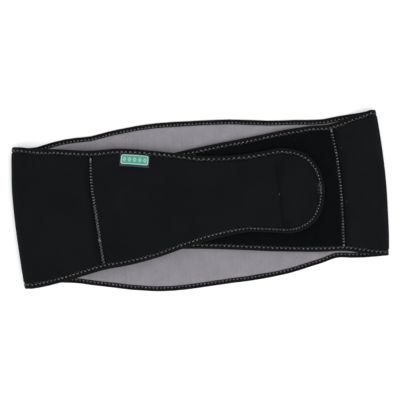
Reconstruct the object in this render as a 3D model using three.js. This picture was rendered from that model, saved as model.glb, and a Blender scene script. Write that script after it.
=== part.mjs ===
import * as THREE from 'three';
import { mergeVertices } from 'three/addons/utils/BufferGeometryUtils.js';

// A maternity support belt, closed into a loop and laid flat on its back panel.
// X runs along the flattened loop, Y up the wearer's back, Z up from the surface. Millimetres.
// The belt is one long strip: left wing, left side, back, right side, right wing. The strip is
// described by ribs, lines from its lower edge to its upper edge, in the order of the strip.

// Driving dimensions
const loopWidth = 453; // between the two folds of the flattened loop
const backHeight = 204; // from the back panel's highest point to its lowest
const shellThickness = 2.4; // black neoprene of the back and side panels
const liningThickness = 0.9; // grey jersey inside the back and side panels
const seat = 0.3; // gap between pieces that touch
const hollow = 5.5; // air between the back and the front
const leftFoldHeight = 21; // over the outside of the left fold
const rightFoldHeight = 15.5; // over the outside of the right fold
const crown = 0.5; // how far the front layers droop at their edges
const tipReach = 51; // length of each wing's rounded end
const tipRoundness = 2.2; // exponent of the rounded end, 2 is an ellipse
const bindingWidth = 6; // how far the edge tape reaches over the panel
const tapeThickness = 0.7; // edge tape
const pinchedThickness = 1; // neoprene squeezed inside the edge tape
const pinchRun = 0.6; // how quickly the panel fills out beside the tape
const hookThickness = 1.4; // hook pad under the left wing's end
const hookReach = 0.82; // share of the rounded end that the hook pad covers
const labelWidth = 33;
const labelHeight = 15;
const labelThickness = 0.5;
const labelPlace = 0.412; // share of the way from the left fold to the left wing's end

// Steps of the faceting
const stepsPerRow = 2;
const stepsPerFold = 8;
const stepsPerTip = 8;
const stepsPerLabel = 4;

// Sizes that follow
const sheet = shellThickness + seat + liningThickness;
const tapeFace = pinchedThickness / 2 + seat; // inner face of the tape, from the middle
const tapeHalf = tapeFace + tapeThickness;
const half = Math.max(sheet / 2, tapeHalf); // half the room that a layer needs
const backLevel = half;
const underLevel = backLevel + 2 * half + hollow; // right wing, the lower of the two
const overLevel = underLevel + 2 * half + seat + crown; // left wing, laid over it
const tipLevel = underLevel + 2 * (half + seat) + hookThickness + crown * hookReach ** 2;
const edgeInset = tapeThickness + seat;
const lipInset = bindingWidth + seat;
const fullInset = lipInset + pinchRun;

// Rows of the flat runs. X and the bow are shares of loopWidth, Y is a share of backHeight.
// The bow is how far the rib's middle stands to the side of a straight line, and the skew moves
// the bow towards the upper edge. The rise is the share of the fold's extra height that is left
// there, and the lift the share of the hook pad's. Two panels are sewn together at a seam row.
const columns = ['topX', 'topY', 'bottomX', 'bottomY', 'bow', 'skew', 'rise', 'lift', 'seam'];
const named = (lines) => lines.map((line) =>
  Object.fromEntries(columns.map((column, i) => [column, line[i] ?? 0])));

const leftFoldRow = [-0.497, 0.306, -0.464, -0.515, -0.010, -0.005, 1, 0];
const rightFoldRow = [0.464, 0.529, 0.499, -0.321, 0.010, 0, 1, 0];

const leftRows = named([ // from the left fold to the start of the left wing's rounded end
  leftFoldRow,
  [-0.450, 0.303, -0.413, -0.505, -0.010, -0.005, 0.98],
  [-0.371, 0.297, -0.334, -0.462, -0.011, -0.006, 0.84],
  [-0.288, 0.291, -0.250, -0.407, -0.011, -0.006, 0.60, 0, 1],
  [-0.217, 0.301, -0.185, -0.380, -0.007, -0.003, 0.34],
  [-0.138, 0.291, -0.114, -0.337, -0.003, 0, 0.12],
  [-0.069, 0.276, -0.050, -0.287, 0, 0, 0.02],
  [0.000, 0.259, 0.013, -0.244],
  [0.058, 0.261, 0.072, -0.207],
  [0.117, 0.273, 0.127, -0.185],
  [0.164, 0.291, 0.178, -0.188, 0, 0, 0, 0.15],
  [0.207, 0.305, 0.225, -0.199, 0, 0, 0, 1],
]);

const rightRows = named([ // from the right fold to the start of the right wing's hidden end
  rightFoldRow,
  [0.403, 0.485, 0.440, -0.312, 0.010, 0.002, 0.50],
  [0.344, 0.441, 0.382, -0.298, 0.010, 0.004, 0.08, 0, 1],
  [0.286, 0.436, 0.318, -0.303, 0.006, 0.002],
  [0.228, 0.419, 0.252, -0.302, 0.003],
  [0.164, 0.390, 0.183, -0.299],
  [0.101, 0.360, 0.114, -0.292],
  [0.037, 0.331, 0.048, -0.287],
  [-0.027, 0.301, -0.021, -0.285],
  [-0.106, 0.260, -0.106, -0.288],
]);

const backRows = named([ // from the left fold to the right fold
  leftFoldRow,
  [-0.453, 0.307, -0.421, -0.496, -0.010, -0.005, 0, 0, 1],
  [-0.387, 0.339, -0.360, -0.478, -0.008, -0.003],
  [-0.302, 0.371, -0.281, -0.498, -0.005],
  [-0.217, 0.412, -0.201, -0.518, -0.002],
  [-0.132, 0.446, -0.122, -0.529],
  [-0.048, 0.463, -0.042, -0.519],
  [0.042, 0.471, 0.042, -0.498],
  [0.138, 0.471, 0.138, -0.469],
  [0.228, 0.467, 0.228, -0.426],
  [0.302, 0.471, 0.305, -0.376, 0.004],
  [0.352, 0.484, 0.363, -0.334, 0.008, 0.003, 0, 0, 1],
  [0.408, 0.507, 0.429, -0.331, 0.010],
  rightFoldRow,
]);

const up = new THREE.Vector3(0, 0, 1);
const down = new THREE.Vector3(0, 0, -1);

// Radius of a fold at the middle of the cloth, and its reach out to the fold line
const foldRadius = (height) => height / 2 - half;
const foldReach = (height) => height / 2;

// A flat run's edges and bows as curves that share the rows' parameter
function layer(rows, base, folds, foldLevel, tip) {
  const shift = (i) => folds[i] ?? 0;
  const level = (row) => base + row.rise * (foldLevel - base) + row.lift * (tip - base);
  const edge = (x, y) => new THREE.CatmullRomCurve3(rows.map((row, i) =>
    new THREE.Vector3(row[x] * loopWidth + shift(i), row[y] * backHeight, level(row))));
  return {
    rows,
    top: edge('topX', 'topY'),
    bottom: edge('bottomX', 'bottomY'),
    bend: new THREE.CatmullRomCurve3(rows.map((row) =>
      new THREE.Vector3(row.bow * loopWidth, row.skew * loopWidth, row.rise)), false, 'catmullrom'),
  };
}

function ribAt(run, share, normal, droop) {
  const top = run.top.getPoint(share);
  const bottom = run.bottom.getPoint(share);
  const bend = run.bend.getPoint(share);
  return {
    top,
    bottom,
    middle: top.clone().lerp(bottom, 0.5),
    bow: bend.x,
    skew: bend.y,
    normal,
    droop: droop * (1 - bend.z),
  };
}

function layerRibs(run, normal, droop) {
  const steps = (run.rows.length - 1) * stepsPerRow;
  return Array.from({ length: steps + 1 }, (_, i) => ribAt(run, i / steps, normal, droop));
}

// Ribs round a fold, from the front layer down to the back. The side is -1 at the left.
function foldRibs(row, side, height) {
  const radius = foldRadius(height);
  return Array.from({ length: stepsPerFold - 1 }, (_, i) => {
    const angle = (i + 1) / stepsPerFold * Math.PI;
    const out = side * (radius * Math.sin(angle) - foldReach(height));
    const place = (x, y) => new THREE.Vector3(
      x * loopWidth + out, y * backHeight, backLevel + radius * (1 + Math.cos(angle)));
    const top = place(row.topX, row.topY);
    const bottom = place(row.bottomX, row.bottomY);
    return {
      top,
      bottom,
      middle: top.clone().lerp(bottom, 0.5),
      bow: row.bow * loopWidth,
      skew: row.skew * loopWidth,
      normal: new THREE.Vector3(side * Math.sin(angle), 0, Math.cos(angle)),
      droop: 0,
    };
  });
}

// Bent ribs that fan out from the middle of a wing's last straight rib to its rounded end
function tipRibs(start, side) {
  const power = 2 / tipRoundness;
  return Array.from({ length: stepsPerTip }, (_, i) => {
    const angle = (1 - (i + 1) / stepsPerTip) * Math.PI / 2;
    const out = new THREE.Vector3(side * tipReach * Math.cos(angle) ** power, 0, 0);
    const place = (end) => start.middle.clone().lerp(end, Math.sin(angle) ** power).add(out);
    return { ...start, top: place(start.top), bottom: place(start.bottom), bow: 0, skew: 0,
      closed: i === stepsPerTip - 1 };
  });
}

// How far along a rib one millimetre in from the edge is, as a share of half the rib
function withInsets(ribs) {
  const pace = (rib, end, before, after) => {
    const along = after.clone().sub(before).normalize();
    const across = rib.middle.clone().sub(rib[end]);
    return 1 / across.cross(along).length();
  };
  return ribs.map((rib, i) => {
    const last = ribs[i - 1] ?? rib;
    const next = ribs[i + 1] ?? rib;
    if (rib.closed) {
      const inside = ribs[i - 1] ?? ribs[i + 1];
      const share = pace(rib, 'top', inside.bottom, inside.top);
      return { ...rib, insets: { top: share, bottom: share } };
    }
    return { ...rib, insets: {
      top: pace(rib, 'top', last.top, next.top),
      bottom: pace(rib, 'bottom', last.bottom, next.bottom),
    } };
  });
}

// A point of a rib: its place across is a share of half the rib or an inset from the edge, and
// the offset is measured out of the loop from the middle of the cloth
function pointOn(rib, end, { inset, share }, offset) {
  const reach = inset === undefined ? share : 1 - inset * rib.insets[end];
  const across = end === 'top' ? reach : -reach;
  const point = rib.middle.clone().lerp(rib[end], reach);
  point.x += (1 - across * across) * (rib.bow + rib.skew * across);
  point.z -= rib.droop * across * across;
  return point.addScaledVector(rib.normal, offset);
}

function closedMesh(name, points, faces, material) {
  const geometry = new THREE.BufferGeometry();
  geometry.setAttribute('position', new THREE.Float32BufferAttribute(
    points.flatMap((point) => point.toArray()), 3));
  geometry.setIndex(faces.flat());
  const merged = mergeVertices(geometry);
  const { array } = merged.index;
  const kept = [];
  for (let i = 0; i < array.length; i += 3) {
    const [a, b, c] = array.slice(i, i + 3);
    if (a !== b && b !== c && c !== a) kept.push(a, b, c);
  }
  merged.setIndex(kept);
  merged.computeVertexNormals();
  const mesh = new THREE.Mesh(merged, material);
  mesh.name = name;
  return mesh;
}

// A quilted closed body between an outer and an inner surface over the same grid of ribs
function clothMesh(name, ribs, section, material) {
  const points = [];
  for (const rib of ribs) {
    for (const column of section) points.push(pointOn(rib, column.end, column, column.outer));
    for (const column of section) points.push(pointOn(rib, column.end, column, column.inner));
  }
  const wide = section.length;
  const outer = (i, j) => 2 * wide * i + j;
  const inner = (i, j) => outer(i, j) + wide;
  const faces = [];
  const quad = (a, b, c, d) => faces.push([a, b, c], [a, c, d]);
  const lastRib = ribs.length - 1;
  const lastColumn = wide - 1;
  for (let i = 0; i < lastRib; i += 1) {
    for (let j = 0; j < lastColumn; j += 1) {
      quad(outer(i, j), outer(i + 1, j), outer(i + 1, j + 1), outer(i, j + 1));
      quad(inner(i, j), inner(i, j + 1), inner(i + 1, j + 1), inner(i + 1, j));
    }
    quad(outer(i, 0), inner(i, 0), inner(i + 1, 0), outer(i + 1, 0));
    quad(outer(i, lastColumn), outer(i + 1, lastColumn), inner(i + 1, lastColumn),
      inner(i, lastColumn));
  }
  for (let j = 0; j < lastColumn; j += 1) {
    if (!ribs[0].closed) quad(outer(0, j), outer(0, j + 1), inner(0, j + 1), inner(0, j));
    if (!ribs[lastRib].closed) {
      quad(outer(lastRib, j), inner(lastRib, j), inner(lastRib, j + 1), outer(lastRib, j + 1));
    }
  }
  return closedMesh(name, points, faces, material);
}

// The edge tape, a ring of U sections round both ends of every rib
function bindingMesh(name, ribs, section, material) {
  const ends = [
    ...ribs.map((rib) => [rib, 'top']),
    ...ribs.slice(1, -1).reverse().map((rib) => [rib, 'bottom']),
  ];
  const points = ends.flatMap(([rib, end]) =>
    section.map(([inset, offset]) => pointOn(rib, end, { inset }, offset)));
  const around = section.length;
  const faces = [];
  for (let i = 0; i < ends.length; i += 1) {
    const here = i * around;
    const next = (i + 1) % ends.length * around;
    for (let j = 0; j < around; j += 1) {
      const k = (j + 1) % around;
      faces.push([here + j, next + k, next + j], [here + j, here + k, next + k]);
    }
  }
  return closedMesh(name, points, faces, material);
}

// Columns of a section from the upper edge to the middle, and the same down to the lower edge
function acrossWhole(columnsDown) {
  const flipped = columnsDown.slice(0, -1).reverse();
  return [
    ...columnsDown.map((column) => ({ ...column, end: 'top' })),
    ...flipped.map((column) => ({ ...column, end: 'bottom' })),
  ];
}

// A panel's end is drawn back by half the seat gap, so that the panels don't touch at a seam
function panel(ribs, from, to) {
  const drawn = (end, inside) => {
    const shift = Math.sign(ribs[inside].middle.x - ribs[end].middle.x) * seat / 2;
    const moved = (point) => point.clone().add(new THREE.Vector3(shift, 0, 0));
    const rib = ribs[end];
    return { ...rib, top: moved(rib.top), middle: moved(rib.middle), bottom: moved(rib.bottom) };
  };
  const first = ribs[from].closed ? ribs[from] : drawn(from, from + 1);
  const last = ribs[to].closed ? ribs[to] : drawn(to, to - 1);
  return [first, ...ribs.slice(from + 1, to), last];
}

// The strip's ribs in order, from the left wing's end to the right wing's end
const leftFoldLevel = backLevel + 2 * foldRadius(leftFoldHeight);
const rightFoldLevel = backLevel + 2 * foldRadius(rightFoldHeight);
const leftShift = foldReach(leftFoldHeight);
const rightShift = -foldReach(rightFoldHeight);
const leftRun = layer(leftRows, overLevel, { 0: leftShift }, leftFoldLevel, tipLevel);
const rightRun = layer(rightRows, underLevel, { 0: rightShift }, rightFoldLevel, underLevel);
const backRun = layer(backRows, backLevel, { 0: leftShift, [backRows.length - 1]: rightShift },
  backLevel, backLevel);

const leftRibs = layerRibs(leftRun, up, crown);
const rightRibs = layerRibs(rightRun, up, crown);
const backRibs = layerRibs(backRun, down, 0);
const leftTip = tipRibs(leftRibs.at(-1), 1);
const rightTip = tipRibs(rightRibs.at(-1), -1);

const strip = withInsets([
  ...leftTip.toReversed(),
  ...leftRibs.toReversed(),
  ...foldRibs(leftRows[0], -1, leftFoldHeight),
  ...backRibs,
  ...foldRibs(rightRows[0], 1, rightFoldHeight).toReversed(),
  ...rightRibs,
  ...rightTip,
]);

// Where the panels are sewn together, as places in the strip
const seamSteps = (rows) => rows.flatMap((row, i) => (row.seam ? [i * stepsPerRow] : []));
const leftStart = leftTip.length + leftRibs.length - 1;
const backStart = leftStart + stepsPerFold;
const rightStart = backStart + backRibs.length - 1 + stepsPerFold;
const seams = [
  0,
  ...seamSteps(leftRows).map((step) => leftStart - step),
  ...seamSteps(backRows).map((step) => backStart + step),
  ...seamSteps(rightRows).map((step) => rightStart + step),
  strip.length - 1,
];
const panelRibs = (i) => panel(strip, seams[i], seams[i + 1]);

// Sections across the strip
const pinched = { outer: pinchedThickness / 2, inner: -pinchedThickness / 2 };
const clothFace = sheet / 2;
const filled = (inner) => {
  const full = { outer: clothFace, inner };
  return acrossWhole([
    { inset: edgeInset, ...pinched },
    { inset: lipInset, ...pinched },
    { inset: fullInset, ...full },
    { share: 0.6, ...full },
    { share: 0.3, ...full },
    { share: 0, ...full },
  ]);
};
const wingSection = filled(-clothFace);
const shellSection = filled(clothFace - shellThickness);
const liningFaces = { outer: liningThickness - clothFace, inner: -clothFace };
const liningSection = acrossWhole([
  { inset: lipInset, ...liningFaces },
  { share: 0.6, ...liningFaces },
  { share: 0.3, ...liningFaces },
  { share: 0, ...liningFaces },
]);
const hookFaces = { outer: -clothFace - seat, inner: -clothFace - seat - hookThickness };
const hookSection = acrossWhole([
  { share: hookReach, ...hookFaces },
  { share: hookReach / 2, ...hookFaces },
  { share: 0, ...hookFaces },
]);
const labelFaces = { outer: clothFace + seat + labelThickness, inner: clothFace + seat };
const labelSection = [
  { end: 'top', inset: fullInset, ...labelFaces },
  { end: 'top', inset: fullInset + labelHeight, ...labelFaces },
];
const tapeSection = [
  [bindingWidth, tapeHalf],
  [tapeThickness, tapeHalf],
  [0, tapeFace],
  [0, -tapeFace],
  [tapeThickness, -tapeHalf],
  [bindingWidth, -tapeHalf],
  [bindingWidth, -tapeFace],
  [tapeThickness, -tapeFace],
  [tapeThickness, tapeFace],
  [bindingWidth, tapeFace],
];

// Materials
const cloth = (color, roughness) => new THREE.MeshStandardMaterial({ color, roughness });
const neoprene = cloth(0x17191a, 0.85);
const velour = cloth(0x0f1012, 0.95);
const jersey = cloth(0x8d8a90, 0.9);
const tape = cloth(0x141516, 0.8);
const hookNylon = cloth(0x1d1f22, 0.6);
const wovenLabel = cloth(0x3da982, 0.7);

function labelRibs() {
  const probe = 0.01;
  const pace = leftRun.top.getPoint(labelPlace + probe)
    .distanceTo(leftRun.top.getPoint(labelPlace - probe)) / (2 * probe);
  return withInsets(Array.from({ length: stepsPerLabel + 1 }, (_, i) => {
    const along = (0.5 - i / stepsPerLabel) * labelWidth;
    return ribAt(leftRun, labelPlace + along / pace, up, crown);
  }));
}

const belt = new THREE.Group();
belt.add(
  clothMesh('wing_left', panelRibs(0), wingSection, neoprene),
  clothMesh('side_left', panelRibs(1), shellSection, neoprene),
  clothMesh('back_panel', panelRibs(2), shellSection, neoprene),
  clothMesh('side_right', panelRibs(3), shellSection, neoprene),
  clothMesh('wing_right', panelRibs(4), wingSection, velour),
  clothMesh('lining_side_left', panelRibs(1), liningSection, jersey),
  clothMesh('lining_back', panelRibs(2), liningSection, jersey),
  clothMesh('lining_side_right', panelRibs(3), liningSection, jersey),
  bindingMesh('edge_binding', strip, tapeSection, tape),
  clothMesh('hook_pad', strip.slice(0, leftTip.length + 1), hookSection, hookNylon),
  clothMesh('label_tab', labelRibs(), labelSection, wovenLabel),
);

// The origin is the middle of the bounding box, on the surface that the belt lies on
const box = new THREE.Box3().setFromObject(belt);
const middle = box.getCenter(new THREE.Vector3());
belt.position.set(-middle.x, -middle.y, -box.min.z);

export default belt;
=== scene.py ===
import math
import bmesh
import bpy
import numpy as np
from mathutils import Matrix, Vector


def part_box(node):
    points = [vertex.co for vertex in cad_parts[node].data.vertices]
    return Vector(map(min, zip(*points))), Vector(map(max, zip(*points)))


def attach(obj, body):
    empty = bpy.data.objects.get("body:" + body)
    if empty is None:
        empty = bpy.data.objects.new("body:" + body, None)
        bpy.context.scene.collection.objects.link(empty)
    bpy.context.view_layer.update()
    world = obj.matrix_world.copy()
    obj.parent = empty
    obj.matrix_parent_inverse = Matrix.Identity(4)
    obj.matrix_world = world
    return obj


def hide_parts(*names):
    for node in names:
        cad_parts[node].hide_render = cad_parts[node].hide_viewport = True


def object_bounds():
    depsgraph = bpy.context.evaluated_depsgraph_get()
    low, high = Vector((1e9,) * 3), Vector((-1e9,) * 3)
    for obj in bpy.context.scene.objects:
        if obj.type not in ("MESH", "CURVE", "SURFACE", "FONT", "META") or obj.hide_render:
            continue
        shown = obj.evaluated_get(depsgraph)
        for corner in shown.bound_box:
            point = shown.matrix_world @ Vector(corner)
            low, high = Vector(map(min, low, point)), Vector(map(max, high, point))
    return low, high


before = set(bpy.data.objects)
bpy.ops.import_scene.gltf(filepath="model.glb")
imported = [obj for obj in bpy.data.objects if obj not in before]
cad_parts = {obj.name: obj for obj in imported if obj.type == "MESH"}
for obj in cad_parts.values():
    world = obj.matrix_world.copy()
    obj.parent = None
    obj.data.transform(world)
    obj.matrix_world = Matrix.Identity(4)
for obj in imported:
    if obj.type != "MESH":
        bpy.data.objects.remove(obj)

# Maternity support belt, closed into a loop and laid flat on its back panel.
# The belt is one strip of ribs, each a line from its lower edge to its upper edge. Whatever is
# sewn to it is placed by how far along the strip it is and how far in from the edge.

cadLow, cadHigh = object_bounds()
mm = 0.001
dice = np.random.default_rng(7)

# Rows of the flat runs. X and bow are shares of the loop's width, Y of the back's height
columns = ["topX", "topY", "bottomX", "bottomY", "bow", "skew", "rise", "lift", "seam"]
leftFoldRow = [-0.497, 0.306, -0.464, -0.515, -0.010, -0.005, 1]
rightFoldRow = [0.464, 0.529, 0.499, -0.321, 0.010, 0, 1]
leftRows = [  # left fold to the start of the left wing's rounded end
    leftFoldRow,
    [-0.450, 0.303, -0.413, -0.505, -0.010, -0.005, 0.98],
    [-0.371, 0.297, -0.334, -0.462, -0.011, -0.006, 0.84],
    [-0.288, 0.291, -0.250, -0.407, -0.011, -0.006, 0.60, 0, 1],
    [-0.217, 0.301, -0.185, -0.380, -0.007, -0.003, 0.34],
    [-0.138, 0.291, -0.114, -0.337, -0.003, 0, 0.12],
    [-0.069, 0.276, -0.050, -0.287, 0, 0, 0.02],
    [0.000, 0.259, 0.013, -0.244],
    [0.058, 0.261, 0.072, -0.207],
    [0.117, 0.273, 0.127, -0.185],
    [0.164, 0.291, 0.178, -0.188, 0, 0, 0, 0.15],
    [0.207, 0.305, 0.225, -0.199, 0, 0, 0, 1],
]
rightRows = [  # right fold to the start of the right wing's hidden end
    rightFoldRow,
    [0.403, 0.485, 0.440, -0.312, 0.010, 0.002, 0.50],
    [0.344, 0.441, 0.382, -0.298, 0.010, 0.004, 0.08, 0, 1],
    [0.286, 0.436, 0.318, -0.303, 0.006, 0.002],
    [0.228, 0.419, 0.252, -0.302, 0.003],
    [0.164, 0.390, 0.183, -0.299],
    [0.101, 0.360, 0.114, -0.292],
    [0.037, 0.331, 0.048, -0.287],
    [-0.027, 0.301, -0.021, -0.285],
    [-0.106, 0.260, -0.106, -0.288],
]
backRows = [  # left fold to right fold
    leftFoldRow,
    [-0.453, 0.307, -0.421, -0.496, -0.010, -0.005, 0, 0, 1],
    [-0.387, 0.339, -0.360, -0.478, -0.008, -0.003],
    [-0.302, 0.371, -0.281, -0.498, -0.005],
    [-0.217, 0.412, -0.201, -0.518, -0.002],
    [-0.132, 0.446, -0.122, -0.529],
    [-0.048, 0.463, -0.042, -0.519],
    [0.042, 0.471, 0.042, -0.498],
    [0.138, 0.471, 0.138, -0.469],
    [0.228, 0.467, 0.228, -0.426],
    [0.302, 0.471, 0.305, -0.376, 0.004],
    [0.352, 0.484, 0.363, -0.334, 0.008, 0.003, 0, 0, 1],
    [0.408, 0.507, 0.429, -0.331, 0.010],
    rightFoldRow,
]

belt = {
    "sheet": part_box("lining_back")[1].z,  # whole thickness of the cloth
    "leftFold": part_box("side_left")[1].z,
    "rightFold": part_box("side_right")[1].z,
    "hollow": 5.5 * mm,  # air between back and front
    "seat": 0.3 * mm,  # room between two layers that lie on each other
    "crown": 0.5 * mm,  # droop of the front layers' edges
    "sag": 3.3 * mm,  # further droop where only the back panel is underneath
    "sagFrom": (-20 * mm, -60 * mm),  # X where it starts, and where it is whole
    "tipReach": 51 * mm,
    "tipRoundness": 2.2,
    # the cut's small waves: how far out from the smooth edge, by the way from the left wing's end;
    # all in millimetres
    "topWave": [(0, -0.8), (20, 0.4), (45, 2.0), (75, 0.2), (105, -0.9), (135, -0.8), (165, 0.0),
                (255, 0.6), (315, 0.1), (355, 0.4), (373, -0.3), (392, 1.0), (420, 1.1), (440, -0.6),
                (456, 0.5), (475, 1.6), (488, 1.4), (506, 0.0), (530, 0.9), (560, 0.9), (590, 0.5),
                (628, 0.0), (673, 0.7), (720, -0.1), (752, 1.2), (786, 0.3), (803, 1.3), (816, 1.1),
                (840, -0.4), (852, 0.6), (863, 0.0), (885, 2.1), (900, 1.9), (917, 1.2), (932, 0.3),
                (950, -0.7), (1000, -0.7), (1040, -0.2)],
    "bottomWave": [(0, -0.8), (25, -1.4), (55, -1.6), (85, -1.2), (110, 0.0), (150, 0.1), (175, -0.5),
                   (205, 0.1), (330, -0.2), (365, 0.2), (392, 0.5), (410, 1.0), (438, 0.6), (459, 1.4),
                   (476, 0.5), (518, 0.4), (539, 1.0), (550, 0.7), (570, 1.3), (590, 1.6), (604, 1.3),
                   (627, 0.7), (660, 0.0), (685, 0.5), (705, 1.0), (730, 1.5), (760, 1.0), (774, 1.4),
                   (789, 0.7), (804, 1.5), (816, 1.1), (840, 1.3), (852, 0.6), (870, 0.5), (900, 0.0)],
    "stepsPerRow": 20,
    "stepsPerFold": 48,
    "stepsPerTip": 90,
}
hookPad = {
    "thickness": 1.4 * mm,
    "reach": 0.82,  # share of the wing that it takes up
    "lip": 0.025,  # share of the pad that its rounded edge takes up
    "lipThick": 0.25,
    "steps": 40,
    "across": 24,
}
half = belt["sheet"] / 2
backLevel = half
underLevel = backLevel + 2 * half + belt["hollow"]
overLevel = underLevel + 2 * half + belt["seat"] + belt["crown"]
tipLevel = (underLevel + 2 * (half + belt["seat"]) + hookPad["thickness"]
            + belt["crown"] * hookPad["reach"] ** 2)


def table(lines):
    return {name: np.array([line[i] if i < len(line) else 0 for line in lines], float)
            for i, name in enumerate(columns)}


def foldReachOf(row):
    # How far out the bowed fold line reaches, as a share of the loop's width
    t = np.linspace(-1, 1, 201)
    line = row[2] + (row[0] - row[2]) * (t + 1) / 2
    return line + (1 - t * t) * (row[4] + row[5] * t)


leftShare, rightShare = foldReachOf(leftFoldRow).min(), foldReachOf(rightFoldRow).max()
loopWidth = (cadHigh.x - cadLow.x) / (rightShare - leftShare)
highest = max(row[1] for row in backRows)
lowest = min(row[3] for row in backRows)
backHeight = (cadHigh.y - cadLow.y) / (highest - lowest)
originX = cadLow.x - leftShare * loopWidth
originY = cadHigh.y - highest * backHeight


def smoothCurve(points, places, even=False):
    # Catmull-Rom curve through the points; place 2.5 is halfway from row 2 to row 3
    points = np.asarray(points, float)
    ends = np.vstack([2 * points[0] - points[1], points, 2 * points[-1] - points[-2]])
    first = np.clip(np.floor(places).astype(int), 0, len(points) - 2)
    w = (places - first)[:, None]
    p0, p1, p2, p3 = (ends[first + k] for k in range(4))
    if even:
        start, stop = (p2 - p0) / 2, (p3 - p1) / 2
    else:
        d0, d1, d2 = (np.sqrt(np.linalg.norm(b - a, axis=1))[:, None]
                      for a, b in ((p0, p1), (p1, p2), (p2, p3)))
        start = d1 * ((p1 - p0) / d0 - (p2 - p0) / (d0 + d1) + (p2 - p1) / d1)
        stop = d1 * ((p2 - p1) / d1 - (p3 - p1) / (d1 + d2) + (p3 - p2) / d2)
    square = 3 * (p2 - p1) - 2 * start - stop
    cube = 2 * (p1 - p2) + start + stop
    return p1 + w * start + w ** 2 * square + w ** 3 * cube


def makeRibs(top, bottom, middle, bow, skew, normal, droop, around=0.0):
    count = len(top)
    return {
        "top": top, "bottom": bottom, "middle": middle,
        "bow": np.broadcast_to(bow, count), "skew": np.broadcast_to(skew, count),
        "normal": np.broadcast_to(normal, (count, 3)), "droop": np.broadcast_to(droop, count),
        "around": np.broadcast_to(around, count),  # cloth that a fold takes up, for the weave
    }


def runRibs(rows, base, foldLevel, endLevel, shifts, normal, droop):
    rows = table(rows)
    steps = (len(rows["topX"]) - 1) * belt["stepsPerRow"]
    places = np.arange(steps + 1) / belt["stepsPerRow"]
    level = base + rows["rise"] * (foldLevel - base) + rows["lift"] * (endLevel - base)
    shift = np.zeros(len(level))
    for row, by in shifts.items():
        shift[row] = by
    edges = {}
    for end in ("top", "bottom"):
        x = originX + rows[end + "X"] * loopWidth + shift
        y = originY + rows[end + "Y"] * backHeight
        edges[end] = smoothCurve(np.stack([x, y, level], 1), places)
    bends = np.stack([rows["bow"] * loopWidth, rows["skew"] * loopWidth, rows["rise"]], 1)
    bend = smoothCurve(bends, places, even=True)
    middle = (edges["top"] + edges["bottom"]) / 2
    run = makeRibs(edges["top"], edges["bottom"], middle, bend[:, 0], bend[:, 1], normal,
                   droop * (1 - bend[:, 2]))
    seams = [int(row) * belt["stepsPerRow"] for row in np.flatnonzero(rows["seam"])]
    return run, seams


def foldRibs(row, side, height):
    # From the front layer round to the back; the side is -1 at the left
    radius = height / 2 - half
    angle = np.arange(1, belt["stepsPerFold"]) / belt["stepsPerFold"] * math.pi
    out = side * (radius * np.sin(angle) - height / 2)
    z = backLevel + radius * (1 + np.cos(angle))
    ends = [np.stack([originX + row[i] * loopWidth + out,
                      np.full(len(out), originY + row[i + 1] * backHeight), z], 1) for i in (0, 2)]
    normal = np.stack([side * np.sin(angle), np.zeros(len(angle)), np.cos(angle)], 1)
    around = side * radius * (np.minimum(angle, math.pi - angle) - np.sin(angle))
    return makeRibs(ends[0], ends[1], (ends[0] + ends[1]) / 2, row[4] * loopWidth,
                    row[5] * loopWidth, normal, 0, around)


def tipRibs(run, side):
    # Bent ribs that fan out from the middle of the last straight one
    power = 2 / belt["tipRoundness"]
    angle = (1 - np.arange(1, belt["stepsPerTip"] + 1) / belt["stepsPerTip"]) * math.pi / 2
    middle = run["middle"][-1]
    out = np.zeros((len(angle), 3))
    out[:, 0] = side * belt["tipReach"] * np.cos(angle) ** power
    swing = (np.sin(angle) ** power)[:, None]
    ends = [middle + (run[end][-1] - middle) * swing + out for end in ("top", "bottom")]
    return makeRibs(ends[0], ends[1], np.tile(middle, (len(angle), 1)), 0, 0,
                    run["normal"][-1], run["droop"][-1])


def insetPace(strip, end):
    # The share of half a rib that one metre in from the edge takes
    other = "bottom" if end == "top" else "top"
    edge = np.vstack([strip[other][1], strip[end], strip[other][-2]])
    along = unit(edge[2:] - edge[:-2])
    return 1 / np.linalg.norm(np.cross(strip["middle"] - strip[end], along), axis=1)


def unit(vectors):
    return vectors / np.linalg.norm(vectors, axis=-1)[..., None]


def flipped(run):
    return {name: values[::-1] for name, values in run.items()}


def lengthsAlong(points):
    # How far along a line each of its points is
    return np.concatenate([[0], np.cumsum(np.linalg.norm(np.diff(points, axis=0), axis=1))])


def ease(value):
    value = np.clip(value, 0, 1)
    return value * value * (3 - 2 * value)


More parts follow.
